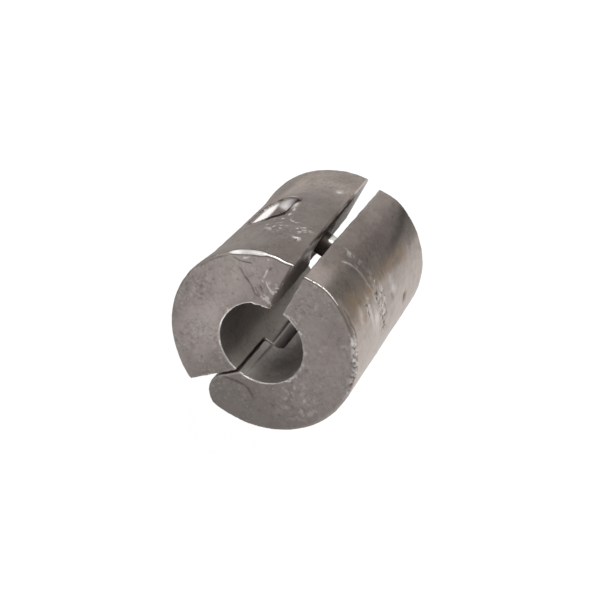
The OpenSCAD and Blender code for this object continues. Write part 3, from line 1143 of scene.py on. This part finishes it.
def lead_material():
    nodes = Nodes(bpy.data.materials.new("cast_lead"))
    place = nodes.place()
    dull = nodes.field("dull")
    smooth = nodes.field("smooth")
    wear, grime_and_painted_shade = wear_grime_light_and_shade(nodes, place)
    grain = nodes.noise(place, *GRAIN_NOISE)
    colour = skin_colour(nodes, place, grain, smooth)
    colour = nodes.mix(nodes.field("warm"), colour, WARM_TINT, blend="MULTIPLY")
    colour = nodes.mix(nodes.field("stain"), colour, BROWN_STAIN, 0.85)
    # Dirt colour, which also paints shade in the slot and the hole, then black for dark grooves and painted
    # shadow lines
    colour = nodes.mix(grime_and_painted_shade, colour, DIRT_AND_SHADE, 0.95)
    colour = nodes.mix(nodes.window(grime_and_painted_shade, 0.84, 0.96), colour, BLACK_DIRT_AND_SHADOW, 0.95)
    # Bare lead, which also paints lit patches and highlights
    colour = nodes.mix(wear, colour, BARE_LEAD_AND_HIGHLIGHT, 0.95)
    rough = nodes.spread(nodes.noise(place, *GLOSS_NOISE), 0.30, 0.56)
    rough = nodes.plus(rough, dull, 0.22)
    rough = nodes.minus(rough, wear, 0.14)
    rough = nodes.plus(rough, smooth, 0.06)
    rough = nodes.plus(rough, grime_and_painted_shade, 0.7, clamp=True)
    metal = nodes.minus(0.95, grime_and_painted_shade, 0.9)
    metal = nodes.minus(metal, dull, 0.35)
    # Painted lit patches are made matte
    metal = nodes.math("SUBTRACT", metal, nodes.field("chalk"), clamp=True)
    fine = nodes.bump(grain, 0.6, 0.1 * MM)
    return nodes.surface({
        "Base Color": colour,
        "Roughness": rough,
        "Metallic": metal,
        "Specular IOR Level": 0.1,
        "Normal": nodes.bump(nodes.noise(place, *DENT_NOISE), 0.6, 0.22 * MM, Normal=fine),
    })


def steel_material():
    nodes = Nodes(bpy.data.materials.new("drawn_steel"))
    place = nodes.place()
    wear = nodes.field("wear")
    # Nearly black steel: for the peg this partly paints the shade it sits in within the slot
    colour = nodes.ramp(nodes.noise(place, 500, 5), [
        (0.35, (0.030, 0.023, 0.019)),
        (0.65, (0.060, 0.048, 0.040)),
    ])
    rough = nodes.spread(nodes.noise(place, 1500, 3), 0.4, 0.6)
    return nodes.surface({
        "Base Color": nodes.mix(wear, colour, (0.72, 0.70, 0.68)),
        "Roughness": nodes.minus(rough, wear, 0.2),
        "Metallic": 0.9,
        "Normal": nodes.bump(nodes.noise(place, 3000, 3), 0.3, 0.05 * MM),
    })


def floor_material():
    nodes = Nodes(bpy.data.materials.new("pale_floor"))
    colour = nodes.ramp(nodes.noise(nodes.place(), 40, 3), [
        (0.3, (0.145, 0.145, 0.144)),
        (0.7, (0.155, 0.155, 0.154)),
    ])
    return nodes.surface({
        "Base Color": colour,
        "Roughness": 0.9,
        "Specular IOR Level": 0.1,
        "Emission Color": (1, 1, 1, 1),
        "Emission Strength": 0.89,
    })


lead = lead_material()
steel = steel_material()

for node in ("left_jaw", "right_jaw"):
    jaw = remeshed(node, node + "_casting")
    cast_surface(jaw, node == "left_jaw")
    jaw.data.materials.append(lead)
    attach(jaw, node)
    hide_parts(node)

# Turned ends of the rods: radius, and distance from the end, in mm
PEG_NOSE = [(1.1, 0.0), (1.5, 0.05), (1.8, 0.25), (2.15, 0.65), (2.28, 0.95), (PEG_R, 1.3)]
PEG_RINGS = np.arange(-3.2, 0.8, 0.2)
PIN_END = [(1.15, 0.0), (1.4, 0.12), (PIN_R, 0.4)]
PIN_DIMPLE = (0.5, PIN_BACK - 0.1)

# Where the peg gets a painted highlight: along it, and on the side that faces up and back
PEG_HIGHLIGHT = (-1.0, -0.6, 0.1, 0.5)
PEG_HIGHLIGHT_SIDE = (0.5, 1.1)
HIGHLIGHT_BACK = 0.57
HIGHLIGHT_UP = 0.82
PIN_RUBBED = (PIN_BACK - 0.6, PIN_BACK - 0.2)

peg_profile = [(radius, PEG_TIP + place) for radius, place in PEG_NOSE]
peg_profile += [(PEG_R, place) for place in PEG_RINGS] + [(PEG_R, PEG_SEAT)]
peg = lathed("peg_rod", peg_profile, PEG_Y * np.array([0, 1, 0]) + PEG_Z * SLOT_UP, SLOT_ACROSS)
pin_profile = [(radius, PIN_FRONT + place) for radius, place in PIN_END] + [(PIN_R, 0.0)]
pin_profile += [(radius, PIN_BACK - place) for radius, place in reversed(PIN_END)] + [PIN_DIMPLE]
pin = lathed("pin_rod", pin_profile, (HINGE_X, 0, HINGE_Z), (0, 1, 0))

peg_co = mesh_points(peg.data)
# The peg's painted highlight, near the right jaw on its upper back side
peg_side = HIGHLIGHT_BACK * (peg_co[:, 1] - PEG_Y) + HIGHLIGHT_UP * (peg_co @ SLOT_UP - PEG_Z)
peg_highlight = between(peg_co @ SLOT_ACROSS, *PEG_HIGHLIGHT) * ease(*PEG_HIGHLIGHT_SIDE, peg_side)
set_field(peg.data, "wear", peg_highlight)
set_field(pin.data, "wear", 0.5 * ease(*PIN_RUBBED, mesh_points(pin.data)[:, 1]))
for rod, node in ((peg, "locating_peg"), (pin, "hinge_pin")):
    rod.data.materials.append(steel)
    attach(rod, "right_jaw")
    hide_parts(node)

# The pale floor, in metres, low enough for the left jaw to swing right open above it
FLOOR_HALF = 3.0
SWING_DROP = 0.023
floor_z = cad_box[0].z - SWING_DROP
floor_mesh = bpy.data.meshes.new("floor")
floor_mesh.from_pydata(
    [(FLOOR_HALF * a, FLOOR_HALF * b, floor_z) for a, b in ((-1, -1), (1, -1), (1, 1), (-1, 1))],
    [], [(0, 1, 2, 3)],
)
floor = new_object("floor", floor_mesh)
floor.data.materials.append(floor_material())


def area_light(name, place, size, power):
    """A round soft light that faces the weight."""
    data = bpy.data.lights.new(name, "AREA")
    data.shape = "DISK"
    data.size = size
    data.energy = power
    light = new_object(name, data)
    light.location = place
    light.rotation_euler = (-light.location).to_track_quat("-Z", "Y").to_euler()
    light.visible_camera = False


area_light("top_softbox", (-0.055, -0.25, 0.9), 0.4, 4.0)
area_light("left_softbox", (-0.7, -0.5, 0.45), 0.35, 0.6)

# White surroundings, with a darker part of the room behind the weight
DARK_WAY = (0.363, 0.82, 0.442)
DARK_EDGE = (0.87, 0.985)
ROOM_TONES = [(0.0, (0.92, 0.92, 0.92)), (1.0, (0.12, 0.115, 0.11))]
world = bpy.data.worlds.new("room")
bpy.context.scene.world = world
nodes = Nodes(world)
way = nodes.add("ShaderNodeVectorMath", {0: nodes.place("Generated"), 1: DARK_WAY}, operation="DOT_PRODUCT")
dark = nodes.window(way.outputs["Value"], *DARK_EDGE)
background = nodes.add("ShaderNodeBackground", {"Color": nodes.ramp(dark, ROOM_TONES)})
nodes.add("ShaderNodeOutputWorld", {"Surface": background.outputs["Background"]})
bpy.context.scene.view_settings.view_transform = "Standard"

# The photo's camera, placed in metres and degrees, with its lens and sensor in mm
camera = new_object("camera", bpy.data.cameras.new("camera"))
camera.location = (0.01006, -0.17683, 0.12145)
camera.rotation_euler = [math.radians(a) for a in (49.877, -27.733, 24.608)]
camera.data.lens = 67.2
camera.data.sensor_width = 36.0
camera.data.clip_start = 0.01
bpy.context.scene.camera = camera
